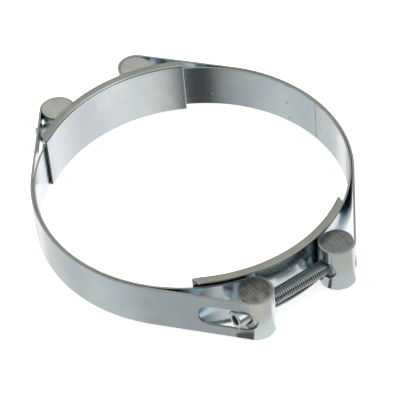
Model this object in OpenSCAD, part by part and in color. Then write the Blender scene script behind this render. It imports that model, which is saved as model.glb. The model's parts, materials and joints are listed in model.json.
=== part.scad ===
// Double-bolt band clamp for a large hose. Two steel half bands, each one strip folded back on
// itself round two trunnions, are drawn together by two socket-head bolts. A channel-section
// saddle bridges each gap between the halves, so that the hose is held all the way round.
//
// Frame: Z is the axis of the hose, X runs along the bolts, and the gaps lie at -Y (front) and
// at +Y (back). The origin is on the hose axis, half way up the saddles.

/* [Clamp] */
// Diameter held between the saddles' inner faces
clamp_bore = 160; // [140:1:180]
// Distance between the two trunnion axes at a gap
trunnion_spacing = 52; // [44:1:56]

/* [Bands] */
// Width of the strip
band_w = 26; // [24:1:28]
// Thickness of the strip
band_t = 1.2; // [1:0.1:1.4]
// Radial gap between a saddle and the bands round it
saddle_gap = 1.2; // [0.6:0.1:1.4]
// Height of the left band's mid plane above the bolts
left_band_z = -0.5; // [-0.9:0.1:0.9]
// Height of the right band's mid plane above the bolts
right_band_z = 0.5; // [-0.9:0.1:0.9]
// Width of the slot that the bolt head or the bolt tip passes through
head_slot_w = 13; // [12:0.5:16]
// Length of that slot from end to end
head_slot_l = 31; // [26:0.5:34]
// Width of the slot in the side that faces the gap
shank_slot_w = 10.4; // [10.2:0.2:12]
// Length of that slot, measured straight across
shank_slot_l = 13.6; // [12:0.2:15]
// Width of the butt seam where the two ends of the strip meet
seam_w = 0.4; // [0.2:0.1:0.8]

/* [Trunnions] */
// Diameter of a trunnion
trunnion_d = 17; // [16:0.5:18]
// Length of a trunnion
trunnion_l = 26; // [25:0.5:28]
// Radial clearance of a trunnion in its loop of strip
loop_clearance = 0.1; // [0.05:0.01:0.1]
// Diameter of the plain hole in a head trunnion
plain_hole_d = 9; // [8.8:0.1:9.4]
// Diameter of the counterbore for the bolt head
head_seat_d = 11; // [10.8:0.1:11.4]
// Distance of the counterbore's floor from the trunnion's axis
head_seat_x = 4.9; // [4.5:0.1:5.5]
// Diameter of the hole in a nut trunnion, at the roots of its thread
nut_hole_d = 8.2; // [8.1:0.02:8.2]

/* [Bolts] */
// Height of the bolts' axes above the middle of the saddles
bolt_z = -1.5; // [-1.6:0.1:0]
// Outside diameter of the thread
bolt_d = 8; // [8:0.1:8]
// Length of the bolt under its head
bolt_l = 65.6; // [60:0.2:70]
// Diameter of the cylindrical head
head_d = 10; // [9.6:0.1:10.4]
// Height of the head
head_l = 8; // [6:0.5:9]
// Width across the flats of the hexagon socket
socket_af = 5; // [4:0.5:6]
// Depth of the hexagon socket
socket_depth = 4.5; // [3:0.5:5]
// Play between the head and its seat
head_play = 0.25; // [0.2:0.05:0.4]

/* [Saddles] */
// Thickness of the channel's steel
saddle_t = 1; // [0.8:0.1:1.1]
// Height of the channel over its two flanges
saddle_h = 32.2; // [31:0.2:33]
// Radial width of a flange from the channel's inner face
flange_w = 4.5; // [4:0.1:5]
// Angle from the middle of a saddle to either end
saddle_half_angle = 34.5; // [30:0.5:38]
// How far round towards the left band the saddles sit
saddle_shift_angle = 1.5; // [0:0.5:2]
// Outside radius of the channel's bends
bend_r = 1.2; // [1.2:0.1:2]

/* [Hidden] */
$fn = 96;
ring_fn = 180;            // facets of the large rings
zinc = [0.74, 0.78, 0.80];
zinc_dark = [0.60, 0.64, 0.66];
sawn_steel = [0.45, 0.45, 0.44];
cut = 0.5;                // how far a cutter runs past what it cuts
chamfer = 0.4;            // edge chamfer of the turned pieces
corner_start = 0.4;       // the saddles' corner cuts start this far out from their walls
trunnion_r = trunnion_d / 2;
trunnion_x = trunnion_spacing / 2;
blank_w = band_w + 2;     // width of the strip before its edges are cut
// Ring of strip: inner layer, then outer layer
band_r = clamp_bore / 2 + saddle_t + saddle_gap;
layer_r = band_r + band_t;
band_outer_r = band_r + 2 * band_t;
// Loop of strip round a trunnion; its inner side runs on from the ring's inner layer
loop_r = trunnion_r + loop_clearance;
loop_outer_r = loop_r + band_t;
nip = 0.03;               // how far the loop sinks into the strip that it runs on from
lap = 0.5;                // how far a stretch of strip runs on inside the loop
loop_distance = band_r + loop_outer_r - nip;
bolt_y = sqrt(pow(loop_distance, 2) - pow(trunnion_x, 2));
// Angles round the ring are counted from the middle of a half band
loop_angle = atan(bolt_y / trunnion_x);
lap_angle = lap / band_r * 180 / PI;
middle_lap_angle = 5;     // how far the two sides of a half band overlap at its middle
// The outer layer leaves the ring at leave_angle and runs straight to the loop
loop_offset = layer_r - loop_r + nip;
leave_angle = loop_angle - acos(loop_offset / loop_distance);
straight_l = sqrt(pow(loop_distance, 2) - pow(loop_offset, 2));
pocket_start = 1.5;       // the layers part this far beyond the ring's last touch
pocket_reach = 1;         // how far the pocket's cutter reaches in below the outer layer
slot_start = 3.5;         // how far the head slot runs on round the loop
slot_cut_depth = 6;       // cuts the outer layer and stops short of the inner one

// Sector of a ring from the plane Y = 0 back through the angle sweep
module back_sector(r1, r2, h, sweep) {
    rotate_extrude(angle = -sweep, $fn = ring_fn)
        translate([r1, -h / 2]) square([r2 - r1, h]);
}

// Prism with round ends: l long in X, w wide in Y, and t deep about its middle in Z
module slot_cutter(l, w, t) {
    translate([-(l - w) / 2, -w / 2, -t / 2]) cube([l - w, w, t]);
    for (side = [-1, 1])
        translate([side * (l - w) / 2, 0, 0]) cylinder(d = w, h = t, center = true);
}

// Strip on the +Y side of a half band, thick and wide enough to be cut to size all over
module strip_side() {
    rotate([0, 0, loop_angle + lap_angle])
        back_sector(band_r - cut, layer_r + cut, blank_w, loop_angle + lap_angle + middle_lap_angle);
    rotate([0, 0, leave_angle]) {
        back_sector(layer_r, band_outer_r, blank_w, leave_angle + middle_lap_angle);
        translate([layer_r - cut, 0, -blank_w / 2])
            cube([band_t + cut, straight_l + lap, blank_w]);
    }
    translate([trunnion_x, bolt_y, 0]) cylinder(r = loop_outer_r, h = blank_w, center = true);
}

// Wedge-shaped space between the layers, from where they part to the trunnion
module pocket() {
    span = loop_angle - leave_angle;
    r = layer_r - pocket_reach;
    difference() {
        rotate([0, 0, leave_angle])
            translate([0, 0, -blank_w / 2 - cut])
                linear_extrude(blank_w + 2 * cut)
                    polygon([[r, pocket_start], [layer_r, pocket_start], [layer_r, straight_l],
                             [loop_offset, straight_l], [r * cos(span), r * sin(span)]]);
        cylinder(r = layer_r, h = blank_w + 4 * cut, center = true, $fn = ring_fn);
    }
}

// Everything that is cut from the +Y side of a half band
module side_cuts() {
    translate([trunnion_x, bolt_y, 0]) cylinder(r = loop_r, h = blank_w + cut, center = true);
    pocket();
    // slot for the bolt's head or tip, square to the straight stretch
    rotate([0, 0, leave_angle])
        translate([layer_r, straight_l + slot_start - head_slot_l / 2, 0])
            rotate([90, 0, 90]) slot_cutter(head_slot_l, head_slot_w, slot_cut_depth);
    // slot for the bolt's shank, on the side that faces the gap
    translate([trunnion_x - loop_outer_r, bolt_y, 0])
        rotate([90, 0, 90]) slot_cutter(shank_slot_l, shank_slot_w, 2 * loop_r);
}

// Half band about the +X direction: one strip, folded back on itself at both ends
module half_band() {
    difference() {
        for (turn = [0, 180]) rotate([turn, 0, 0]) strip_side();
        cylinder(r = band_r, h = blank_w + cut, center = true, $fn = ring_fn);
        for (turn = [0, 180]) rotate([turn, 0, 0]) {
            side_cuts();
            translate([0, -2 * band_r, band_w / 2]) cube([2 * band_r, 4 * band_r, blank_w]);
        }
        // butt seam between the two ends of the strip
        translate([band_r - cut, -seam_w / 2, -blank_w / 2])
            cube([band_t + cut, seam_w, blank_w]);
    }
}

module left_band() {
    color(zinc) translate([0, 0, bolt_z + left_band_z]) rotate([0, 0, 180]) half_band();
}

module right_band() {
    color(zinc) translate([0, 0, bolt_z + right_band_z]) half_band();
}

// Upper half of the channel's section: wall, bend and flange
module half_channel() {
    r = clamp_bore / 2;
    h = saddle_h / 2;
    translate([r, 0]) square([saddle_t, h - bend_r]);
    translate([r + bend_r, h - saddle_t]) square([flange_w - bend_r, saddle_t]);
    translate([r + bend_r, h - bend_r])
        intersection() {
            difference() {
                circle(r = bend_r);
                circle(r = bend_r - saddle_t);
            }
            translate([-bend_r, 0]) square(bend_r);
        }
}

// Saddle about the +X direction, with the outer corners of its flanges cut off at 45 degrees
module saddle() {
    difference() {
        rotate([0, 0, -saddle_half_angle])
            rotate_extrude(angle = 2 * saddle_half_angle, $fn = ring_fn) {
                half_channel();
                mirror([0, 1]) half_channel();
            }
        for (end = [0, 1])
            mirror([0, end, 0])
                rotate([0, 0, saddle_half_angle])
                    translate([clamp_bore / 2 + saddle_t + corner_start, 0, -saddle_h / 2 - cut])
                        rotate([0, 0, -45])
                            cube([2 * flange_w, 2 * flange_w, saddle_h + 2 * cut]);
    }
}

module front_saddle() {
    color(zinc) rotate([0, 0, -90 - saddle_shift_angle]) saddle();
}

module back_saddle() {
    color(zinc) rotate([0, 0, 90 + saddle_shift_angle]) saddle();
}

// Round bar with chamfered ends, standing on its middle
module turned_bar(d, l) {
    for (end = [-1, 1])
        translate([0, 0, end * (l / 2 - chamfer)])
            rotate([end > 0 ? 0 : 180, 0, 0])
                cylinder(d1 = d, d2 = d - 2 * chamfer, h = chamfer);
    cylinder(d = d, h = l - 2 * chamfer, center = true);
}

// Trunnion under a bolt's head, with the head on its -X side
module head_trunnion() {
    difference() {
        turned_bar(trunnion_d, trunnion_l);
        rotate([0, 90, 0]) cylinder(d = plain_hole_d, h = 2 * trunnion_d, center = true);
        translate([-head_seat_x, 0, 0])
            rotate([0, -90, 0]) cylinder(d = head_seat_d, h = trunnion_d);
    }
}

// Trunnion that the bolt screws into
module nut_trunnion() {
    difference() {
        turned_bar(trunnion_d, trunnion_l);
        rotate([0, 90, 0]) cylinder(d = nut_hole_d, h = 2 * trunnion_d, center = true);
    }
}

// Socket-head bolt along +X, with the underside of its head at the origin
module bolt() {
    rotate([0, 90, 0]) {
        cylinder(d = bolt_d, h = bolt_l - chamfer);
        translate([0, 0, bolt_l - chamfer])
            cylinder(d1 = bolt_d, d2 = bolt_d - 2 * chamfer, h = chamfer);
        difference() {
            union() {
                translate([0, 0, chamfer - head_l]) cylinder(d = head_d, h = head_l - chamfer);
                translate([0, 0, -head_l])
                    cylinder(d1 = head_d - 2 * chamfer, d2 = head_d, h = chamfer);
            }
            translate([0, 0, -head_l - cut])
                cylinder(d = socket_af / cos(30), h = socket_depth + cut, $fn = 6);
        }
    }
}

// Places a piece on the trunnion axis at a gap: side_y is -1 at the front and 1 at the back
module at_trunnion(side_x, side_y) {
    translate([side_x * trunnion_x, side_y * bolt_y, bolt_z]) children();
}

module front_head_trunnion() { color(sawn_steel) at_trunnion(-1, -1) head_trunnion(); }
module back_head_trunnion() { color(sawn_steel) at_trunnion(-1, 1) head_trunnion(); }
module front_nut_trunnion() { color(sawn_steel) at_trunnion(1, -1) nut_trunnion(); }
module back_nut_trunnion() { color(sawn_steel) at_trunnion(1, 1) nut_trunnion(); }

module placed_bolt(side_y) {
    color(zinc_dark) at_trunnion(-1, side_y) translate([-head_seat_x - head_play, 0, 0]) bolt();
}

module front_bolt() { placed_bolt(-1); }
module back_bolt() { placed_bolt(1); }

left_band();
right_band();
front_saddle();
back_saddle();
front_head_trunnion();
back_head_trunnion();
front_nut_trunnion();
back_nut_trunnion();
front_bolt();
back_bolt();
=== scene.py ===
"""Looks of the double-bolt hose clamp: folded and spot-welded zinc-plated half bands, channel
saddles, sawn trunnions and threaded bolts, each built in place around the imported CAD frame.

Metres throughout. Z is the hose axis, X runs along the bolts, the gaps are at -Y and +Y.
"""

import json
import math

import bmesh
import bpy
import numpy as np
from mathutils import Matrix, Vector
from mathutils.geometry import tessellate_polygon


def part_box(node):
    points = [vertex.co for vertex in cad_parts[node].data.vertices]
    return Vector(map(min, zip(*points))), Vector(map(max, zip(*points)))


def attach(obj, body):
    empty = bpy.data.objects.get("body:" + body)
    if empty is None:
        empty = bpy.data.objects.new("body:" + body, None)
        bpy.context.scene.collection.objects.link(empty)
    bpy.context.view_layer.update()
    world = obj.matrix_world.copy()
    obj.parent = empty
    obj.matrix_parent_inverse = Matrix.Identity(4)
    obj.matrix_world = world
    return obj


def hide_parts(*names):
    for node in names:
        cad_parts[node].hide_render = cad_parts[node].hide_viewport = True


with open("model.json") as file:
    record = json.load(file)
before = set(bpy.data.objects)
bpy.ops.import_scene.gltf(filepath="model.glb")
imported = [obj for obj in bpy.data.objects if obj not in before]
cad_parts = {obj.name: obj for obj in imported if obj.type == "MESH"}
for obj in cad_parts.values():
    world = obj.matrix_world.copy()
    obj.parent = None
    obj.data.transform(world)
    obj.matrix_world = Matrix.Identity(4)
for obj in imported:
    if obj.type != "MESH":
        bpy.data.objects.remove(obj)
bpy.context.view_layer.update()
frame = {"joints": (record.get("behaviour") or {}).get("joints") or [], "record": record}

MM = 0.001
TAU = 2 * math.pi

# ---------------------------------------------------------------- sizes read from the frame
mounts = {m["name"]: m for m in frame["record"]["mounts"]}
joints = {j["name"]: j for j in frame["joints"]}
HOSE_R = mounts["hose_seat"]["dims"]["r_mm"] * MM
TRUNNION_X = -joints["front_bolt_turn"]["pos_m"][0]
TRUNNION_Y = -joints["front_bolt_turn"]["pos_m"][1]
BOLT_Z = joints["front_bolt_turn"]["pos_m"][2]

trunnion_low, trunnion_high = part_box("front_nut_trunnion")
TRUNNION_R = (trunnion_high.x - trunnion_low.x) / 2
TRUNNION_L = trunnion_high.z - trunnion_low.z

bolt_low, bolt_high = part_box("front_bolt")
BOLT_END = bolt_high.x
HEAD_R = (bolt_high.z - bolt_low.z) / 2
HEAD_TOP = bolt_low.x

band_low, band_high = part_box("right_band")
BAND_W = band_high.z - band_low.z
BAND_OUTER_R = band_high.x

saddle_low, saddle_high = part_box("front_saddle")
SADDLE_H = saddle_high.z - saddle_low.z
FLOOR_Z = saddle_low.z

# ---------------------------------------------------------------- driving dimensions
MICRON = 0.001 * MM
ROUND_OFF = 1e-9            # metres

LAYER_PITCH = 1.2 * MM      # from one layer of strip to the next
STRIP_T = 1.14 * MM         # strip thickness, which leaves a hairline between the layers
STRIP_EDGE = 0.16 * MM      # rounding of the strip's sheared edges
STRIP_CORNER = 0.29 * STRIP_EDGE    # how far the rounding's middle lies in from the corner
HEAD_SLOT = (31 * MM, 13 * MM)
HEAD_SLOT_PAST_STRAIGHT = 3.5 * MM
SHANK_SLOT = (13.6 * MM, 10.4 * MM)
SEAM_GAP = 0.25 * MM
LAYER_LIFT = 0.35 * MM      # how far the outer layer stands off before it leaves the ring

SADDLE_T = 1.0 * MM
SADDLE_EDGE = 0.2 * MM      # rounding of the saddles' sheared edges
FLANGE_W = 4.5 * MM
SADDLE_BEND_R = 1.2 * MM
SADDLE_HALF_ANGLE = math.radians(34.5)
SADDLE_SHIFT = math.radians(1.5)
SADDLE_FLARE = 0.7 * MM     # how far the saddles' left ends spring out towards the band
SADDLE_FLARE_L = 7 * MM
CORNER_START = 0.4 * MM     # the flanges' corner cuts start this far out from the wall

BAR_EDGE = 0.22 * MM        # rounding of the trunnions' ends
BAR_SIDES = 96
HOLE_SIDES = 64
HEAD_SEAT_R = 5.5 * MM
HEAD_SEAT_X = 4.9 * MM
PLAIN_HOLE_R = 4.5 * MM
NUT_HOLE_R = 4.1 * MM
NUT_MOUTH = 1 * MM          # depth of the tapped hole's 45 degree mouths at the bar's widest line

BOLT_SIDES = 48
HEAD_H = 8 * MM
HEAD_EDGE_R = 0.4 * MM
HEAD_FILLET = 0.25 * MM     # rounding under the head and at its neck
SOCKET_AF = 5 * MM
SOCKET_DEPTH = 4.5 * MM
SOCKET_MOUTH = 0.12 * MM    # how far the socket's chamfer reaches past its corners
SOCKET_CHAMFER = 0.7        # slope of that chamfer
SOCKET_MIDDLE = 0.3 * MM    # how far the floor's middle lies below its edge
SOCKET_RING = (0.2 * MM, 0.55)      # a ring between them: depth, share of the edge's radius
THREAD_R = 4 * MM
THREAD_PITCH = 1.25 * MM
THREAD_ROOT_R = THREAD_R - 0.5413 * THREAD_PITCH
THREAD_CREST_R = THREAD_R - 0.03 * MM
THREAD_END_IN = 0.25 * MM   # how far the bolt's end is turned down below the thread's root
THREAD_TURNED = 0.2 * MM    # the most that the thread's own points near it are turned down
TIP_SLOPE = 0.9             # rise of the bolt's turned tip, away from its end
RUNOUT_SLOPE = 0.5          # rise of the thread where it starts under the head
TIP_DISH = 0.15 * MM        # how far the middle of the bolt's end lies in
UNDER_HEAD = HEAD_TOP + HEAD_H
THREAD_START = UNDER_HEAD + 0.9 * MM

# Centre lines of the strip: inner layer, outer layer, and the loop about a trunnion
INNER_R = BAND_OUTER_R - 1.5 * LAYER_PITCH
OUTER_R = BAND_OUTER_R - 0.5 * LAYER_PITCH
LOOP_DISTANCE = math.hypot(TRUNNION_X, TRUNNION_Y)
LOOP_R = LOOP_DISTANCE - INNER_R
LOOP_ANGLE = math.atan2(TRUNNION_Y, TRUNNION_X)
LEAVE_ANGLE = LOOP_ANGLE - math.acos((OUTER_R - LOOP_R) / LOOP_DISTANCE)
STRAIGHT_L = LOOP_DISTANCE * math.sin(LOOP_ANGLE - LEAVE_ANGLE)
LOOP_SWEEP = LOOP_ANGLE + math.pi - LEAVE_ANGLE

# Places along the strip, from the middle of the outer layer
S_LEAVE = OUTER_R * LEAVE_ANGLE
S_LOOP = S_LEAVE + STRAIGHT_L
S_JOIN = S_LOOP + LOOP_R * LOOP_SWEEP
S_SEAM = S_JOIN + INNER_R * LOOP_ANGLE
LIFT_FROM = OUTER_R * math.radians(6)


# ---------------------------------------------------------------- mesh helpers
def add_object(name, mesh, materials):
    """Puts a mesh into the scene with its materials."""
    for m in materials:
        mesh.materials.append(m)
    obj = bpy.data.objects.new(name, mesh)
    bpy.context.scene.collection.objects.link(obj)
    return obj


def object_from_bmesh(name, bm, materials):
    """A mesh object from a bmesh, which it uses up; the faces' sides are set outwards."""
    bmesh.ops.recalc_face_normals(bm, faces=bm.faces)
    mesh = bpy.data.meshes.new(name)
    bm.to_mesh(mesh)
    bm.free()
    return add_object(name, mesh, materials)


def shade(obj, smooth_angle):
    """Smooth shading, with sharp edges marked above smooth_angle degrees."""
    obj.data.shade_smooth()
    obj.data.set_sharp_from_angle(angle=math.radians(smooth_angle))


def weigh_normals(obj):
    """Keeps large faces flat in shading beside their small rounded edges."""
    mod = obj.modifiers.new("weighted_normal", "WEIGHTED_NORMAL")
    mod.keep_sharp = True
    mod.weight = 60


def finish_piece(obj, node):
    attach(obj, node)
    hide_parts(node)


# ---------------------------------------------------------------- strip
def strip_path(s):
    """Centre line points (x, y) and outward normals for places s >= 0 on the +X half band."""
    n = np.array([math.cos(LEAVE_ANGLE), math.sin(LEAVE_ANGLE)])
    t = np.array([-n[1], n[0]])
    centre = np.array([TRUNNION_X, TRUNNION_Y])
    points = np.zeros((len(s), 2))
    normals = np.zeros((len(s), 2))
    for i, v in enumerate(s):
        if v <= S_LEAVE:
            a = v / OUTER_R
            normals[i] = (math.cos(a), math.sin(a))
            points[i] = normals[i] * OUTER_R
        elif v <= S_LOOP:
            normals[i] = n
            points[i] = n * OUTER_R + t * (v - S_LEAVE)
        elif v <= S_JOIN:
            a = LEAVE_ANGLE + (v - S_LOOP) / LOOP_R
            normals[i] = (math.cos(a), math.sin(a))
            points[i] = centre + normals[i] * LOOP_R
        else:
            a = LOOP_ANGLE - (v - S_JOIN) / INNER_R
            normals[i] = (-math.cos(a), -math.sin(a))
            points[i] = -normals[i] * INNER_R
    # the outer layer stands off the inner one a little before it leaves the ring
    lift = np.zeros(len(s))
    rising = (s > LIFT_FROM) & (s <= S_LEAVE)
    lift[rising] = 0.5 - 0.5 * np.cos((s[rising] - LIFT_FROM) / (S_LEAVE - LIFT_FROM) * math.pi)
    falling = (s > S_LEAVE) & (s < S_LOOP)
    lift[falling] = 0.5 + 0.5 * np.cos((s[falling] - S_LEAVE) / STRAIGHT_L * math.pi)
    return points + normals * (lift * LAYER_LIFT)[:, None], normals


SLOTS = []
for half_s, length, width in (
    (S_LOOP + HEAD_SLOT_PAST_STRAIGHT - HEAD_SLOT[0] / 2, HEAD_SLOT[0], HEAD_SLOT[1]),
    (
        S_LOOP + LOOP_R * (math.pi - LEAVE_ANGLE),
        2 * LOOP_R * math.asin(SHANK_SLOT[0] / 2 / LOOP_R),
        SHANK_SLOT[1],
    ),
):
    SLOTS += [(half_s, length / 2, width / 2), (-half_s, length / 2, width / 2)]


def slot_half_width(s):
    for centre, half_l, half_w in SLOTS:
        d = abs(s - centre)
        if d < half_l - ROUND_OFF:
            over = d - (half_l - half_w)
            return half_w if over <= 0 else math.sqrt(half_w**2 - over**2)
    return 0.0


# Spot welds that hold the layers together: (degrees from the seam, height)
WELDS = [(3.6, 6 * MM), (3.2, -2 * MM), (15.0, 1 * MM), (14.2, -9.5 * MM)]
WELD_R = 1.2 * MM
WELD_DEPTH = 0.3 * MM

# Spacing of the mesh's columns along the strip
WELD_COLUMNS = [k * 0.5 * MM for k in range(-4, 5)]
SLOT_END_DEGREES = range(0, 91, 15)
LEAST_STEP = 0.15 * MM
LOOP_STEP = 0.9 * MM
LONG_STEP = 2.4 * MM
BLOCK_ROWS = 16             # rows of faces from either edge to the slots or the middle


def weld_middle(degrees):
    return S_SEAM - math.radians(degrees) * INNER_R


def strip_columns():
    """Places along the whole strip where the mesh has a column of points."""
    must = {0.0}
    for side in (-1, 1):
        must |= {side * v for v in (S_LEAVE, S_LOOP, S_JOIN, S_SEAM - SEAM_GAP / 2)}
        for degrees, _ in WELDS:
            must |= {side * (weld_middle(degrees) + step) for step in WELD_COLUMNS}
    for centre, half_l, half_w in SLOTS:
        for degrees in SLOT_END_DEGREES:
            reach = half_l - half_w + half_w * math.cos(math.radians(degrees))
            must |= {centre - reach, centre + reach}
    must = sorted(must)
    kept = [must[0]]
    for v in must[1:]:
        if v - kept[-1] > LEAST_STEP:
            kept.append(v)
        elif slot_half_width(v) > 0 or v == must[-1]:
            kept[-1] = v
    columns = []
    for a, b in zip(kept, kept[1:]):
        longest = LOOP_STEP if S_LOOP < abs(a + b) / 2 < S_JOIN else LONG_STEP
        count = max(1, math.ceil((b - a) / longest))
        columns += [a + (b - a) * k / count for k in range(count)]
    return columns + [kept[-1]]


def strip_grid():
    """Flat points (s, z) of the whole strip and its quads, which leave the slots open."""
    half_w = BAND_W / 2
    flat, ids = [], []
    for s in strip_columns():
        h = slot_half_width(s)
        low = [-half_w + (half_w - h) * k / BLOCK_ROWS for k in range(BLOCK_ROWS + 1)]
        first = len(flat)
        flat += [(s, z) for z in low]
        low_ids = list(range(first, first + BLOCK_ROWS + 1))
        if h == 0:
            flat += [(s, -z) for z in reversed(low[:-1])]
            high_ids = [low_ids[-1]] + list(range(first + BLOCK_ROWS + 1, len(flat)))
        else:
            flat += [(s, -z) for z in reversed(low)]
            high_ids = list(range(first + BLOCK_ROWS + 1, len(flat)))
        ids.append((low_ids, high_ids))
    quads = []
    for left, right in zip(ids, ids[1:]):
        for block in (0, 1):
            a, b = left[block], right[block]
            quads += [(a[k], b[k], b[k + 1], a[k + 1]) for k in range(BLOCK_ROWS)]
    return np.array(flat), quads


def outline_of(flat, quads):
    """Outline edges as their faces run, the points on them, and the way into the strip."""
    used = {}
    for q in quads:
        for k in range(4):
            used[(q[k], q[(k + 1) % 4])] = True
    outline = [e for e in used if (e[1], e[0]) not in used]
    inward = np.zeros_like(flat)
    for a, b in outline:
        d = flat[b] - flat[a]
        n = np.array([-d[1], d[0]]) / np.hypot(*d)
        inward[a] += n
        inward[b] += n
    edge = np.unique(np.array(outline).ravel())
    # the sum of two normals, made long enough to inset both edges alike, with a limit
    size = np.hypot(inward[edge, 0], inward[edge, 1])
    inward[edge] /= np.maximum(size, 0.5)[:, None] ** 2 / size[:, None]
    return outline, edge, inward


def weld_dents(s, z):
    """Share of the spot welds' full depth at places (s, z)."""
    dent = np.zeros(len(s))
    for degrees, height in WELDS:
        d = np.hypot(np.abs(s) - weld_middle(degrees), z - height) / WELD_R
        dent += np.where(d < 1, 0.5 + 0.5 * np.cos(np.minimum(d, 1) * math.pi), 0)
    return dent


def strip_mesh():
    """Points (N, 3), their (s, z), faces and a 0/1 edge flag per face, for the +X half band."""
    flat, quads = strip_grid()
    outline, edge, inward = outline_of(flat, quads)

    # Rings of points round the sheared edge, from outer to inner face: (inset, offset)
    half_t = STRIP_T / 2
    rings = [
        (STRIP_CORNER, half_t - STRIP_CORNER),
        (0, half_t - STRIP_EDGE),
        (0, STRIP_EDGE - half_t),
        (STRIP_CORNER, STRIP_CORNER - half_t),
    ]
    count = len(flat)
    place_on_edge = {int(v): i for i, v in enumerate(edge)}
    face_flat = flat + inward * STRIP_EDGE
    all_flat = [face_flat, face_flat]
    all_offset = [np.full(count, half_t), np.full(count, -half_t)]
    for inset, offset in rings:
        all_flat.append(flat[edge] + inward[edge] * inset)
        all_offset.append(np.full(len(edge), offset))
    all_flat = np.vstack(all_flat)
    all_offset = np.concatenate(all_offset)

    def ring_id(ring, v):
        """Point of a ring at flat point v: ring 0 is the outer face, the last the inner."""
        if ring == 0:
            return v
        if ring > len(rings):
            return count + v
        return 2 * count + (ring - 1) * len(edge) + place_on_edge[v]

    faces = [tuple(q) for q in quads] + [tuple(count + v for v in reversed(q)) for q in quads]
    flags = [0] * len(faces)
    for a, b in outline:
        for r in range(len(rings) + 1):
            faces.append((ring_id(r, b), ring_id(r, a), ring_id(r + 1, a), ring_id(r + 1, b)))
            flags.append(1 if r == len(rings) // 2 else 0)

    # The welds dent the outer side of the strip, which is the bore's side in the inner layer
    s, z = all_flat[:, 0], all_flat[:, 1]
    all_offset = all_offset - WELD_DEPTH * weld_dents(s, z) * (all_offset > 0)

    points, normals = strip_path(np.abs(s))
    flip = np.where(s < 0, -1.0, 1.0)
    x = points[:, 0] + normals[:, 0] * all_offset
    y = (points[:, 1] + normals[:, 1] * all_offset) * flip
    return np.column_stack([x, y, z]), all_flat, faces, flags


def build_band(name, side_x, materials, shared):
    verts, flat, faces, flags = shared
    low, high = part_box(name)
    placed = verts * np.array([side_x, side_x, 1]) + np.array([0, 0, (low.z + high.z) / 2])
    mesh = bpy.data.meshes.new(name + "_strip")
    mesh.from_pydata([tuple(v) for v in placed], [], faces)
    obj = add_object(name + "_strip", mesh, materials)
    mesh.polygons.foreach_set("material_index", flags)
    shade(obj, 30)
    mesh.update()
    uv = mesh.uv_layers.new(name="UVMap")
    index = np.zeros(len(mesh.loops), np.int32)
    mesh.loops.foreach_get("vertex_index", index)
    uv.data.foreach_set("uv", (flat[index] * 10).astype(np.float32).ravel())
    weigh_normals(obj)
    finish_piece(obj, name)


# ---------------------------------------------------------------- saddles
def arc(cx, cy, r, start, end, steps):
    """Points of an arc from start to end degrees."""
    angles = [math.radians(start + (end - start) * k / steps) for k in range(steps + 1)]
    return [(cx + r * math.cos(a), cy + r * math.sin(a)) for a in angles]


WALL_ROWS = 6               # rows of faces on each half of the saddle's wall
BEND_TOP = 0.3 * SADDLE_BEND_R      # this much of the bend looks like the flange
FLANGE_TIP = 10 * MICRON    # points this close to a flange's tip belong to its edge
MIDDLE_STATIONS = 47        # cross-sections of the mesh between the two ends' own
# Places of the ends' cross-sections, in from each end
END_STATIONS = [SADDLE_EDGE * share for share in (0, 0.12, 0.45, 1)]
END_STATIONS += [v * MM for v in (0.8, 1.4, 2.1, 2.9, 3.8, 4.8, 5.9)]


def saddle_section():
    """Closed outline (radius, z) of the channel, with its sheared edges and bends rounded."""
    e = SADDLE_EDGE
    top = SADDLE_H / 2
    bend = HOSE_R + SADDLE_BEND_R
    bend_z = top - SADDLE_BEND_R
    tip = HOSE_R + FLANGE_W
    upper = arc(tip - e, top - SADDLE_T + e, e, -90, 0, 3)
    upper += arc(tip - e, top - e, e, 0, 90, 3)
    upper += [((tip - e + bend) / 2, top)]
    upper += arc(bend, bend_z, SADDLE_BEND_R, 90, 180, 8)
    lower = [(r, -z) for r, z in reversed(upper)]
    front = [(HOSE_R, bend_z * k / WALL_ROWS) for k in range(WALL_ROWS - 1, -WALL_ROWS, -1)]
    bend_in = SADDLE_BEND_R - SADDLE_T
    behind = [(bend, -(top - SADDLE_T))]
    behind += [(r, -z) for r, z in arc(bend, bend_z, bend_in, 90, 180, 5)]
    wall_out = HOSE_R + SADDLE_T
    behind += [(wall_out, bend_z * k / WALL_ROWS) for k in range(1 - WALL_ROWS, WALL_ROWS)]
    behind += arc(bend, bend_z, bend_in, 180, 90, 5)
    outline = upper + front + lower + behind
    clean = [outline[0]]
    for p in outline[1:]:
        if math.dist(p, clean[-1]) > MICRON:
            clean.append(p)
    return clean


def saddle_stations():
    """(place along the arc, end) of each cross-section; end is -1 or 1, and 0 in the middle."""
    half_l = SADDLE_HALF_ANGLE * HOSE_R
    middle_l = half_l - SADDLE_FLARE_L
    stations = [(d - half_l, -1) for d in END_STATIONS]
    stations += [(v, 0) for v in np.linspace(-middle_l, middle_l, MIDDLE_STATIONS)]
    return stations + [(half_l - d, 1) for d in reversed(END_STATIONS)]


def shrunk(r, z, shrink):
    """A point of the section, moved towards the middle of the sheet's thickness."""
    top = SADDLE_H / 2
    share = shrink / (SADDLE_T / 2)
    if abs(z) > top - SADDLE_T - MICRON and r > HOSE_R + SADDLE_BEND_R - MICRON:
        z += ((top - SADDLE_T / 2) * (1 if z > 0 else -1) - z) * share
    elif abs(z) < top - SADDLE_BEND_R + MICRON:
        r += (HOSE_R + SADDLE_T / 2 - r) * share
    return r, z


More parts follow.
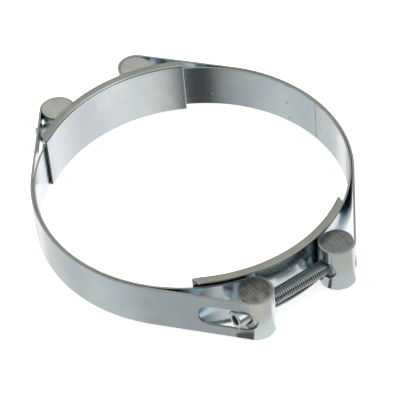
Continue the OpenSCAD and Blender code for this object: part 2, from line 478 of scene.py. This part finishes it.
def saddle_points(section, middle_angle, flared_end):
    """All the channel's points, one cross-section after the other."""
    half_l = SADDLE_HALF_ANGLE * HOSE_R
    verts = []
    for at, end in saddle_stations():
        reach = half_l - abs(at)
        corner_cut = max(0.0, 1 - reach / FLANGE_W) if end else 0.0
        flare = 0.0
        if end == flared_end:
            flare = SADDLE_FLARE * max(0.0, 1 - reach / SADDLE_FLARE_L) ** 2
        # the section shrinks a little at the very end, so that its edges are rounded
        shrink = 0.0
        if reach < SADDLE_EDGE:
            shrink = SADDLE_EDGE * (1 - math.sqrt(max(0, 1 - (1 - reach / SADDLE_EDGE) ** 2)))
        for r, z in section:
            cut = max(0.0, r - HOSE_R - SADDLE_T - CORNER_START) * corner_cut
            a = middle_angle + (abs(at) - cut) / HOSE_R * (1 if at > 0 else -1)
            r, z = shrunk(r, z, shrink)
            verts.append(((r + flare) * math.cos(a), (r + flare) * math.sin(a), z))
    return verts


def saddle_slot(one, two):
    """Material slot of a stretch of the section: 0 wall, 1 a flange's edge, 2 its face."""
    if min(one[0], two[0]) > HOSE_R + FLANGE_W - FLANGE_TIP:
        return 1
    return 2 if min(abs(one[1]), abs(two[1])) > SADDLE_H / 2 - BEND_TOP else 0


def build_saddle(name, middle_angle, flared_end, materials):
    section = saddle_section()
    n = len(section)
    verts = saddle_points(section, middle_angle, flared_end)
    last = len(verts) - n
    bm = bmesh.new()
    for v in verts:
        bm.verts.new(v)
    bm.verts.ensure_lookup_table()
    for first in range(0, last, n):
        for k in range(n):
            m = (k + 1) % n
            corners = (first + k, first + m, first + n + m, first + n + k)
            face = bm.faces.new([bm.verts[v] for v in corners])
            face.material_index = saddle_slot(section[k], section[m])
    # end faces: triangles worked out in the flat section, because the cut corners bend them
    triangles = tessellate_polygon([[Vector((r, z, 0)) for r, z in section]])
    # slot 3 colours these end faces near-black, as painted shade
    for start in (0, last):
        for triangle in triangles:
            bm.faces.new([bm.verts[start + v] for v in triangle]).material_index = 3
    obj = object_from_bmesh(name + "_channel", bm, materials)
    shade(obj, 40)
    weigh_normals(obj)
    finish_piece(obj, name)


# ---------------------------------------------------------------- turned pieces
def turned(name, profile, sides, phase, place, end_slot, materials):
    """Closed solid turned from (along, radius) points; place() puts each point in the world."""
    bm = bmesh.new()
    rings = []
    for along, radius in profile:
        turns = [TAU * (k + phase) / sides for k in range(sides)]
        ring = [place(along, radius * math.cos(a), radius * math.sin(a)) for a in turns]
        rings.append([bm.verts.new(point) for point in ring])
    for one, two in zip(rings, rings[1:]):
        for k in range(sides):
            m = (k + 1) % sides
            bm.faces.new((one[k], two[k], two[m], one[m])).material_index = 1
    bm.faces.new(rings[0]).material_index = end_slot
    bm.faces.new(rings[-1][::-1]).material_index = end_slot
    return object_from_bmesh(name, bm, materials)


def cut_away(obj, cutter):
    """Takes the cutter's shape out of a piece and removes the cutter."""
    mod = obj.modifiers.new("hole", "BOOLEAN")
    mod.operation = "DIFFERENCE"
    mod.solver = "EXACT"
    mod.object = cutter
    bpy.context.view_layer.update()
    dg = bpy.context.evaluated_depsgraph_get()
    result = bpy.data.meshes.new_from_object(obj.evaluated_get(dg))
    obj.modifiers.clear()
    obj.data = result
    bpy.data.objects.remove(cutter)


def build_trunnion(name, head, materials):
    low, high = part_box(name)
    x = -TRUNNION_X if head else (low.x + high.x) / 2
    y = (low.y + high.y) / 2
    r, half_l, e = TRUNNION_R, TRUNNION_L / 2, BAR_EDGE
    middle = 0.3 * e        # of the rounding, in from the corner
    upper_end = [(half_l, r - e), (half_l - middle, r - middle), (half_l - e, r)]
    profile = upper_end + [(half_l * k / 4, r) for k in range(3, -4, -1)]
    profile += [(-along, radius) for along, radius in reversed(upper_end)]
    obj = turned(
        name + "_bar", profile, BAR_SIDES, 0,
        lambda along, c, d: (x + c, y + d, BOLT_Z + along), 0, materials,
    )
    # the hole along the bolt: a seat for the head, or a tapped hole with its mouths broken
    if head:
        bore = [(-2 * r, HEAD_SEAT_R), (-HEAD_SEAT_X, HEAD_SEAT_R)]
        bore += [(-HEAD_SEAT_X, PLAIN_HOLE_R), (2 * r, PLAIN_HOLE_R)]
    else:
        mouth = [(r + NUT_MOUTH, NUT_HOLE_R + 2 * NUT_MOUTH), (r - NUT_MOUTH, NUT_HOLE_R)]
        bore = [(-along, radius) for along, radius in mouth] + mouth[::-1]
    cutter = turned(
        "cutter", bore, HOLE_SIDES, 0.5,
        lambda along, c, d: (x + along, y + c, BOLT_Z + d), 1, materials,
    )
    cut_away(obj, cutter)
    obj.data.name = name + "_bar"
    shade(obj, 28)
    finish_piece(obj, name)


# ---------------------------------------------------------------- bolts
LABELS_PER_TURN = 4         # one for each point of the thread's profile
START_LABEL = -(10**6)      # of the point at the thread's start, below all others
END_LABEL = 10**6           # of the point at its end, above all others
PAST_LABEL = 10**7          # stands for the next label when a column has no more points


def thread_points(column):
    """Labelled (label, x, r) points of the thread's profile along one column."""
    root, crest = THREAD_ROOT_R, THREAD_CREST_R
    # (share of the pitch, radius)
    marks = ((0.0, root), (0.25, root), (0.5625, crest), (0.6875, crest))
    turns = int((BOLT_END - THREAD_START) / THREAD_PITCH) + 2
    margin = 0.05 * MM
    points = [(START_LABEL, THREAD_START, root)]
    for m in range(-1, turns):
        for k, (share, r) in enumerate(marks):
            x = THREAD_START + THREAD_PITCH * (m + share + column / BOLT_SIDES)
            if THREAD_START + margin < x < BOLT_END - margin:
                tip = root - THREAD_END_IN + (BOLT_END - x) * TIP_SLOPE
                runout = root + (x - THREAD_START) * RUNOUT_SLOPE
                r = min(r, max(tip, root - THREAD_TURNED), runout)
                points.append((LABELS_PER_TURN * m + k, x, r))
    points.append((END_LABEL, BOLT_END, root - THREAD_END_IN))
    return points


def head_rings():
    """Rings of (x, radius) points, from the socket's floor round the head to its neck."""
    apothem = SOCKET_AF / 2
    hexagon = []
    for k in range(BOLT_SIDES):
        a = math.degrees(TAU * k / BOLT_SIDES) % 60 - 30
        hexagon.append(apothem / math.cos(math.radians(a)))
    mouth = apothem / math.cos(math.radians(30)) + SOCKET_MOUTH
    floor_x = HEAD_TOP + SOCKET_DEPTH
    ring_depth, ring_share = SOCKET_RING
    socket = [
        [(floor_x + ring_depth, r * ring_share) for r in hexagon],
        [(floor_x, r) for r in hexagon],
        [(HEAD_TOP + (mouth - r) * SOCKET_CHAMFER, r) for r in hexagon],
    ]
    e = HEAD_EDGE_R
    outside = [(HEAD_TOP, mouth), (HEAD_TOP, HEAD_R - e)]
    for degrees in (18, 36, 54, 72, 90):
        a = math.radians(degrees)
        outside.append((HEAD_TOP + e * (1 - math.cos(a)), HEAD_R - e + e * math.sin(a)))
    outside += [
        (HEAD_TOP + HEAD_H / 2, HEAD_R),
        (UNDER_HEAD - HEAD_FILLET, HEAD_R),
        (UNDER_HEAD, HEAD_R - HEAD_FILLET),
        (UNDER_HEAD, THREAD_ROOT_R + HEAD_FILLET),
        (UNDER_HEAD + HEAD_FILLET, THREAD_ROOT_R),
    ]
    return socket + [[point] * BOLT_SIDES for point in outside]


def between_columns(left, right):
    """Faces between two columns of labelled points: like labels are joined, the rest fan."""
    faces = []
    i = j = 0
    while i < len(left) - 1 or j < len(right) - 1:
        next_left = left[i + 1][0] if i < len(left) - 1 else PAST_LABEL
        next_right = right[j + 1][0] if j < len(right) - 1 else PAST_LABEL
        if next_left == next_right:
            faces.append((left[i][1], right[j][1], right[j + 1][1], left[i + 1][1]))
            i += 1
            j += 1
        elif next_left < next_right:
            faces.append((left[i][1], right[j][1], left[i + 1][1]))
            i += 1
        else:
            faces.append((left[i][1], right[j][1], right[j + 1][1]))
            j += 1
    return faces


def build_bolt(name, side_y, materials):
    n = BOLT_SIDES
    turns = [(math.cos(TAU * k / n), math.sin(TAU * k / n)) for k in range(n)]
    rings = head_rings()
    verts = [(HEAD_TOP + SOCKET_DEPTH + SOCKET_MIDDLE, 0.0, 0.0)]
    for ring in rings:
        verts += [(x, r * c, r * d) for (x, r), (c, d) in zip(ring, turns)]
    faces = []
    for k in range(n):
        m = (k + 1) % n
        faces.append((0, 1 + m, 1 + k))
        for i in range(len(rings) - 1):
            a, b = 1 + i * n, 1 + (i + 1) * n
            faces.append((a + k, a + m, b + m, b + k))
    neck = 1 + (len(rings) - 1) * n
    head_faces = len(faces)
    # thread: one list of labelled points for each column, joined to the next column
    columns = []
    for k, (c, d) in enumerate(turns):
        column = []
        for label, x, r in thread_points(k):
            column.append((label, len(verts)))
            verts.append((x, r * c, r * d))
        columns.append(column)
    tip = len(verts)
    verts.append((BOLT_END - TIP_DISH, 0.0, 0.0))
    for k in range(n):
        m = (k + 1) % n
        left, right = columns[k], columns[m]
        if m == 0:
            # past the last column, the same point of the thread has the next turn's label
            right = [
                (v - LABELS_PER_TURN if START_LABEL < v < END_LABEL else v, i) for v, i in right
            ]
        faces.append((neck + k, neck + m, right[0][1], left[0][1]))
        faces += between_columns(left, right)
        faces.append((left[-1][1], right[-1][1], tip))
    placed = np.array(verts) + np.array([0, side_y * TRUNNION_Y, BOLT_Z])
    bm = bmesh.new()
    corners = [bm.verts.new(v) for v in placed]
    for number, ids in enumerate(faces):
        bm.faces.new([corners[v] for v in ids]).material_index = int(number >= head_faces)
    obj = object_from_bmesh(name + "_screw", bm, materials)
    shade(obj, 35)
    finish_piece(obj, name)


# ---------------------------------------------------------------- materials
def node_material(name):
    mat = bpy.data.materials.new(name)
    mat.use_nodes = True
    nodes, links = mat.node_tree.nodes, mat.node_tree.links
    shader = nodes["Principled BSDF"]
    return mat, nodes, links, shader


def noise(nodes, links, source, scale, detail, stretch=(1, 1, 1), turn=(0, 0, 0)):
    mapping = nodes.new("ShaderNodeMapping")
    mapping.inputs["Scale"].default_value = stretch
    mapping.inputs["Rotation"].default_value = turn
    links.new(source, mapping.inputs["Vector"])
    tex = nodes.new("ShaderNodeTexNoise")
    tex.inputs["Scale"].default_value = scale
    tex.inputs["Detail"].default_value = detail
    links.new(mapping.outputs["Vector"], tex.inputs["Vector"])
    return tex.outputs["Fac"]


def ramp(nodes, links, source, stops):
    node = nodes.new("ShaderNodeValToRGB")
    while len(node.color_ramp.elements) < len(stops):
        node.color_ramp.elements.new(0.5)
    for element, (at, colour) in zip(node.color_ramp.elements, stops):
        element.position = at
        element.color = (*colour, 1)
    links.new(source, node.inputs["Fac"])
    return node.outputs["Color"]


def math_node(nodes, links, operation, first, second=None, third=None):
    node = nodes.new("ShaderNodeMath")
    node.operation = operation
    for socket, value in zip(node.inputs, (first, second, third)):
        if value is None:
            continue
        if isinstance(value, (int, float)):
            socket.default_value = value
        else:
            links.new(value, socket)
    return node.outputs[0]


def map_range(nodes, links, source, low, high):
    node = nodes.new("ShaderNodeMapRange")
    node.inputs["From Min"].default_value = 0.3
    node.inputs["From Max"].default_value = 0.7
    node.inputs["To Min"].default_value = low
    node.inputs["To Max"].default_value = high
    links.new(source, node.inputs["Value"])
    return node.outputs["Result"]


def bump(nodes, links, height, strength, distance, shader, before=None):
    node = nodes.new("ShaderNodeBump")
    node.inputs["Strength"].default_value = strength
    node.inputs["Distance"].default_value = distance
    links.new(height, node.inputs["Height"])
    if before is not None:
        links.new(before, node.inputs["Normal"])
    links.new(node.outputs["Normal"], shader.inputs["Normal"])
    return node.outputs["Normal"]


def plated(name, blue, middle, pale, rough, use_uv, streak=0.06, grain=0.08):
    """Zinc plate over rolled steel: cloudy passivation, rolling streaks, fine grain, a few dings."""
    mat, nodes, links, shader = node_material(name)
    coords = nodes.new("ShaderNodeTexCoord")
    source = coords.outputs["UV" if use_uv else "Object"]
    unit = 0.1 if use_uv else 1.0  # the strip's UV is in tenths of a metre
    cloud = noise(nodes, links, source, 60 * unit, 3)
    colour = ramp(nodes, links, cloud, ((0.34, blue), (0.5, middle), (0.68, pale)))
    links.new(colour, shader.inputs["Base Color"])
    streaks = noise(nodes, links, source, 900 * unit, 4, (0.03, 1, 1))
    links.new(
        map_range(nodes, links, streaks, rough - 0.04, rough + 0.05), shader.inputs["Roughness"]
    )
    first = bump(nodes, links, streaks, streak, 0.2 * MM, shader)
    fine = noise(nodes, links, source, 2600 * unit, 2)
    second = bump(nodes, links, fine, grain * 0.2, 0.05 * MM, shader, first)
    spots = noise(nodes, links, source, 240 * unit, 0)
    dings = ramp(nodes, links, spots, ((0.77, (1, 1, 1)), (0.83, (0, 0, 0))))
    bump(nodes, links, dings, 0.3, 0.12 * MM, shader, second)
    shader.inputs["Metallic"].default_value = 1.0
    return mat


def cut_edge(name, dark, light):
    """Sheared edge of the strip: duller, warmer, with fine marks across it."""
    mat, nodes, links, shader = node_material(name)
    coords = nodes.new("ShaderNodeTexCoord")
    marks = noise(nodes, links, coords.outputs["Object"], 1800, 3)
    links.new(ramp(nodes, links, marks, ((0.35, dark), (0.7, light))), shader.inputs["Base Color"])
    links.new(map_range(nodes, links, marks, 0.36, 0.5), shader.inputs["Roughness"])
    bump(nodes, links, marks, 0.12, 0.05 * MM, shader)
    shader.inputs["Metallic"].default_value = 0.9
    return mat


def threaded(name, dark, light, rough):
    """Thread of a bolt: the roots darkened as painted shade, the crests in bright zinc, by distance
    from the bolt's axis.
    """
    mat, nodes, links, shader = node_material(name)
    coords = nodes.new("ShaderNodeTexCoord")
    split = nodes.new("ShaderNodeSeparateXYZ")
    links.new(coords.outputs["Object"], split.inputs["Vector"])
    across = math_node(nodes, links, "ABSOLUTE", split.outputs["Y"])
    offset = math_node(nodes, links, "SUBTRACT", across, TRUNNION_Y)
    rise = math_node(nodes, links, "SUBTRACT", split.outputs["Z"], BOLT_Z)
    join = nodes.new("ShaderNodeCombineXYZ")
    links.new(offset, join.inputs["X"])
    links.new(rise, join.inputs["Y"])
    length = nodes.new("ShaderNodeVectorMath")
    length.operation = "LENGTH"
    links.new(join.outputs["Vector"], length.inputs[0])
    height = nodes.new("ShaderNodeMapRange")
    height.inputs["From Min"].default_value = THREAD_R - 0.62 * MM
    height.inputs["From Max"].default_value = THREAD_R - 0.1 * MM
    links.new(length.outputs["Value"], height.inputs["Value"])
    colour = ramp(nodes, links, height.outputs["Result"], ((0.15, dark), (0.95, light)))
    links.new(colour, shader.inputs["Base Color"])
    grain = noise(nodes, links, coords.outputs["Object"], 1400, 3)
    links.new(map_range(nodes, links, grain, rough - 0.04, rough + 0.1), shader.inputs["Roughness"])
    bump(nodes, links, grain, 0.08, 0.05 * MM, shader)
    shader.inputs["Metallic"].default_value = 1.0
    return mat


def sawn(name, dark, light, angle, depth, metallic=0.95):
    """Sawn end of round bar: parallel saw marks and dull patches."""
    mat, nodes, links, shader = node_material(name)
    coords = nodes.new("ShaderNodeTexCoord")
    turn = (0, 0, math.radians(angle))
    marks = noise(nodes, links, coords.outputs["Object"], 1500, 5, (1, 0.06, 1), turn)
    patches = noise(nodes, links, coords.outputs["Object"], 260, 2)
    mix = nodes.new("ShaderNodeMix")
    mix.inputs["Factor"].default_value = 0.35
    links.new(marks, mix.inputs["A"])
    links.new(patches, mix.inputs["B"])
    colour = ramp(nodes, links, mix.outputs["Result"], ((0.38, dark), (0.6, light)))
    links.new(colour, shader.inputs["Base Color"])
    links.new(map_range(nodes, links, patches, 0.38, 0.52), shader.inputs["Roughness"])
    bump(nodes, links, marks, depth, 0.12 * MM, shader)
    shader.inputs["Metallic"].default_value = metallic
    return mat


ZINC = ((0.62, 0.70, 0.80), (0.62, 0.74, 0.79), (0.68, 0.77, 0.80))
ZINC_SADDLE = ((0.60, 0.69, 0.75), (0.61, 0.71, 0.74), (0.67, 0.76, 0.78))
# flange tops: the saddle's zinc made darker and warmer, as painted shade of the dimmer, warmer light
# they reflect
ZINC_FLANGE_SHADE = ((0.58, 0.60, 0.56), (0.62, 0.63, 0.57), (0.70, 0.71, 0.65))
ZINC_BAR = ((0.58, 0.67, 0.71), (0.60, 0.69, 0.71), (0.67, 0.76, 0.77))
ZINC_SCREW = ((0.60, 0.68, 0.72), (0.63, 0.71, 0.73), (0.72, 0.79, 0.80))
band_face = plated("zinc_band_face", *ZINC, 0.2, True)
band_edge = cut_edge("zinc_band_edge", (0.50, 0.49, 0.44), (0.70, 0.69, 0.62))
saddle_face = plated("zinc_saddle_face", *ZINC_SADDLE, 0.2, False, 0.05, 0.04)
saddle_flange = plated("zinc_saddle_flange", *ZINC_FLANGE_SHADE, 0.34, False)
saddle_edge = cut_edge("zinc_saddle_edge", (0.44, 0.43, 0.38), (0.64, 0.62, 0.56))
# the saddles' end faces: near-black, as painted shade of the gap beside the band
saddle_end_painted_shade = cut_edge("zinc_saddle_end", (0.07, 0.08, 0.08), (0.20, 0.21, 0.20))
bar_side = plated("trunnion_side", *ZINC_BAR, 0.28, False)
screw = plated("bolt_zinc", *ZINC_SCREW, 0.22, False)
# thread colours: dark roots as painted shade, bright zinc crests
thread = threaded("bolt_thread", (0.19, 0.225, 0.235), (0.58, 0.64, 0.66), 0.24)
sawn_front_head = sawn("sawn_front_head", (0.14, 0.14, 0.135), (0.40, 0.40, 0.39), 62, 0.5)
sawn_front_nut = sawn("sawn_front_nut", (0.26, 0.285, 0.285), (0.42, 0.44, 0.44), 35, 0.25)
sawn_back_head = sawn("sawn_back_head", (0.44, 0.45, 0.42), (0.54, 0.54, 0.49), 80, 0.08, 0.35)
sawn_back_nut = sawn("sawn_back_nut", (0.43, 0.43, 0.40), (0.53, 0.53, 0.50), 20, 0.08, 0.35)

# ---------------------------------------------------------------- the clamp
strip = strip_mesh()
build_band("right_band", 1, (band_face, band_edge), strip)
build_band("left_band", -1, (band_face, band_edge), strip)
saddle_materials = (saddle_face, saddle_edge, saddle_flange, saddle_end_painted_shade)
build_saddle("front_saddle", -math.pi / 2 - SADDLE_SHIFT, -1, saddle_materials)
build_saddle("back_saddle", math.pi / 2 + SADDLE_SHIFT, 1, saddle_materials)
build_trunnion("front_head_trunnion", True, (sawn_front_head, bar_side))
build_trunnion("front_nut_trunnion", False, (sawn_front_nut, bar_side))
build_trunnion("back_head_trunnion", True, (sawn_back_head, bar_side))
build_trunnion("back_nut_trunnion", False, (sawn_back_nut, bar_side))
build_bolt("front_bolt", -1, (screw, thread))
build_bolt("back_bolt", 1, (screw, thread))

# ---------------------------------------------------------------- camera
CAMERA_AZIMUTH, CAMERA_ELEVATION, CAMERA_ROLL = -32.51, 43.91, -5.45
CAMERA_DISTANCE = 1.1594
CAMERA_LENS, CAMERA_SENSOR = 198.0, 36.0
CAMERA_SHIFT = (0.0164, -0.0252)
a, e, roll = (math.radians(v) for v in (CAMERA_AZIMUTH, CAMERA_ELEVATION, CAMERA_ROLL))
back = Vector((math.sin(a) * math.cos(e), -math.cos(a) * math.cos(e), math.sin(e)))
right = Vector((math.cos(a), math.sin(a), 0))
up = back.cross(right)
rolled_right = right * math.cos(roll) + up * math.sin(roll)
rolled_up = up * math.cos(roll) - right * math.sin(roll)
camera_data = bpy.data.cameras.new("camera")
camera_data.lens = CAMERA_LENS
camera_data.sensor_width = CAMERA_SENSOR
camera_data.shift_x, camera_data.shift_y = CAMERA_SHIFT
camera_data.clip_start = 0.05
camera_data.clip_end = 50
camera = bpy.data.objects.new("camera", camera_data)
bpy.context.scene.collection.objects.link(camera)
axes = Matrix((rolled_right, rolled_up, back)).transposed()
aim = Vector((0, 0, BOLT_Z))
camera.matrix_world = Matrix.Translation(aim + back * CAMERA_DISTANCE) @ axes.to_4x4()
bpy.context.scene.camera = camera

# ---------------------------------------------------------------- floor, world and light
FLOOR_GLOW = 0.72           # keeps the floor white under the soft shadows
FLOOR_HALF = 3.0
floor_mat, _, _, shader = node_material("floor_white")
shader.inputs["Base Color"].default_value = (0.9, 0.9, 0.9, 1)
shader.inputs["Roughness"].default_value = 0.9
shader.inputs["Emission Color"].default_value = (1, 1, 1, 1)
shader.inputs["Emission Strength"].default_value = FLOOR_GLOW
floor_mesh = bpy.data.meshes.new("floor")
floor_mesh.from_pydata(
    [(x * FLOOR_HALF, y * FLOOR_HALF, FLOOR_Z) for x, y in ((-1, -1), (1, -1), (1, 1), (-1, 1))],
    [],
    [(0, 1, 2, 3)],
)
floor = add_object("floor", floor_mesh, [floor_mat])
floor.visible_glossy = False


def direction(azimuth, elevation):
    """Unit vector; azimuth counts from +X towards +Y."""
    az, el = math.radians(azimuth), math.radians(elevation)
    return (math.cos(az) * math.cos(el), math.sin(az) * math.cos(el), math.sin(el))


world = bpy.data.worlds.new("studio")
bpy.context.scene.world = world
world.use_nodes = True
nodes, links = world.node_tree.nodes, world.node_tree.links
background = nodes["Background"]
coords = nodes.new("ShaderNodeTexCoord")
split = nodes.new("ShaderNodeSeparateXYZ")
links.new(coords.outputs["Generated"], split.inputs["Vector"])
height = split.outputs["Z"]
turn = math_node(nodes, links, "ARCTAN2", split.outputs["Y"], split.outputs["X"])
turn = math_node(nodes, links, "DIVIDE", turn, TAU)
turn = math_node(nodes, links, "ADD", turn, 1.0)
turn = math_node(nodes, links, "FRACT", turn)
# The table all round the clamp, as it shows in upright metal: azimuth, light, tint
LOW_LIGHT = (
    (0, 1.06, "white"), (43, 1.06, "white"), (62, 0.60, "cool"), (70, 0.42, "cool"),
    (79, 1.00, "cool"), (90, 0.98, "cool"), (100, 0.70, "cool"), (119, 0.66, "cool"),
    (135, 0.58, "green"), (160, 0.66, "green"), (176, 0.58, "green"), (186, 0.52, "green"),
    (197, 0.45, "green"), (208, 0.33, "green"), (214, 0.20, "green"), (218, 0.06, "green"),
    (234, 0.055, "green"), (238, 0.19, "cool"), (243, 0.42, "cool"), (250, 0.64, "cool"),
    (262, 0.82, "cool"), (276, 0.88, "cool"), (290, 0.94, "white"), (308, 0.84, "white"),
    (325, 0.81, "white"), (340, 0.90, "white"), (360, 1.06, "white"),
)
TINTS = {
    "white": (1.08, 1.0, 0.98),
    "cool": (1.07, 1.0, 0.955),
    "green": (1.04, 1.0, 0.95),
}
LIGHT_SCALE = 1.3    # a ramp holds colours up to 1
LIGHT_GAIN = 1.1


def lit(value, tint):
    return tuple(min(1.0, value * LIGHT_GAIN / LIGHT_SCALE * t) for t in TINTS[tint])


low = ramp(nodes, links, turn, [(at / 360, lit(value, tint)) for at, value, tint in LOW_LIGHT])

# Soft areas overhead: azimuth, elevation, inner and outer radius in degrees, added light
UPPER_LIGHT = (0.42, 0.42, 0.41)
AREAS = (
    (57, 44, 10, 45, (-0.14, -0.14, -0.15)),
    (300, 34, 9, 24, (0.95, 0.95, 0.95)),
    (10, 75, 10, 60, (0.25, 0.25, 0.25)),
)
total = None
for azimuth, elevation, inner, outer, colour in AREAS:
    dot = nodes.new("ShaderNodeVectorMath")
    dot.operation = "DOT_PRODUCT"
    links.new(coords.outputs["Generated"], dot.inputs[0])
    dot.inputs[1].default_value = direction(azimuth, elevation)
    fall = nodes.new("ShaderNodeMapRange")
    fall.interpolation_type = "SMOOTHSTEP"
    fall.inputs["From Min"].default_value = math.cos(math.radians(outer))
    fall.inputs["From Max"].default_value = math.cos(math.radians(inner))
    links.new(dot.outputs["Value"], fall.inputs["Value"])
    area = nodes.new("ShaderNodeVectorMath")
    area.operation = "MULTIPLY_ADD"
    area.inputs[0].default_value = colour
    links.new(fall.outputs["Result"], area.inputs[1])
    if total is None:
        area.inputs[2].default_value = UPPER_LIGHT
    else:
        links.new(total, area.inputs[2])
    total = area.outputs["Vector"]

low_scaled = nodes.new("ShaderNodeVectorMath")
low_scaled.operation = "SCALE"
low_scaled.inputs["Scale"].default_value = LIGHT_SCALE
links.new(low, low_scaled.inputs[0])
rise = nodes.new("ShaderNodeMapRange")
rise.interpolation_type = "SMOOTHSTEP"
rise.inputs["From Min"].default_value = -0.05
rise.inputs["From Max"].default_value = 0.05
links.new(height, rise.inputs["Value"])
mixed = nodes.new("ShaderNodeMix")
mixed.data_type = "VECTOR"
mixed_a, mixed_b = (
    next(s for s in mixed.inputs if s.identifier == f"{letter}_Vector") for letter in "AB"
)
mixed_result = next(s for s in mixed.outputs if s.identifier == "Result_Vector")
links.new(rise.outputs["Result"], mixed.inputs["Factor"])
links.new(low_scaled.outputs["Vector"], mixed_a)
links.new(total, mixed_b)
# The room beyond the table is dark, in a band just under the horizon
HORIZON = ((-37, 1.0), (-27, 0.22), (-5, 0.14), (7, 0.2), (18, 1.0))
dimming = ramp(
    nodes,
    links,
    math_node(nodes, links, "MULTIPLY_ADD", height, 0.5, 0.5),
    [(0.5 + 0.5 * math.sin(math.radians(el)), (v, v, v)) for el, v in HORIZON],
)
lighting = nodes.new("ShaderNodeVectorMath")
lighting.operation = "MULTIPLY"
links.new(mixed_result, lighting.inputs[0])
links.new(dimming, lighting.inputs[1])
links.new(lighting.outputs["Vector"], background.inputs["Color"])
background.inputs["Strength"].default_value = 1.0

# Glowing patches of the table in front, which show in polished metal only: painted reflections of
# the lit table, and in the near-black ones painted shadow of the clamp on it. Side of the loop that
# they lie about, first and last azimuth, inner and outer radius, light
PAINTED_REFLECTION_PATCHES = (
    (-1, 205, 318, 21, 60, (0.69, 0.593, 0.488)),
    (-1, 221, 318, 8, 21, (0.84, 0.81, 0.76)),
    (-1, 181, 221, 8, 16, (0.09, 0.085, 0.08)),
    (1, 208, 318, 22, 60, (0.59, 0.536, 0.47)),
    (1, 205, 318, 8, 22, (0.66, 0.64, 0.60)),
    (1, 192, 205, 11, 28, (0.05, 0.05, 0.05)),
)
PATCH_STEPS = 24
PATCH_STACK = 0.02 * MM


def painted_reflection_patch(number, side, first, last, inner, outer, light):
    verts = []
    z = FLOOR_Z + (number + 1) * PATCH_STACK
    for k in range(PATCH_STEPS + 1):
        azimuth = math.radians(first + (last - first) * k / PATCH_STEPS)
        for r in (inner * MM, outer * MM):
            x = side * TRUNNION_X + r * math.cos(azimuth)
            verts.append((x, -TRUNNION_Y + r * math.sin(azimuth), z))
    faces = [(2 * k, 2 * k + 1, 2 * k + 3, 2 * k + 2) for k in range(PATCH_STEPS)]
    mat, _, _, shader = node_material(f"painted_reflection_patch_{number}")
    # black base lit only by its own glow: a painted reflection, and in the near-black patches a
    # painted shadow
    shader.inputs["Base Color"].default_value = (0, 0, 0, 1)
    shader.inputs["Emission Color"].default_value = (*light, 1)
    shader.inputs["Emission Strength"].default_value = 1.0
    mesh = bpy.data.meshes.new(f"painted_reflection_patch_{number}")
    mesh.from_pydata(verts, [], faces)
    obj = add_object(f"painted_reflection_patch_{number}", mesh, [mat])
    obj.visible_camera = False
    obj.visible_diffuse = False
    obj.visible_transmission = False
    obj.visible_shadow = False


for number, patch in enumerate(PAINTED_REFLECTION_PATCHES):
    painted_reflection_patch(number, *patch)


def area_light(name, azimuth, elevation, distance, size, power):
    data = bpy.data.lights.new(name, "AREA")
    data.shape = "DISK"
    data.size = size
    data.energy = power
    obj = bpy.data.objects.new(name, data)
    place = Vector(direction(azimuth, elevation)) * distance
    obj.location = place
    obj.rotation_mode = "QUATERNION"
    obj.rotation_quaternion = place.to_track_quat("Z", "Y")
    bpy.context.scene.collection.objects.link(obj)
    obj.visible_glossy = False


area_light("soft_top", 60, 70, 1.5, 1.2, 12)
bpy.context.scene.view_settings.view_transform = "Standard"
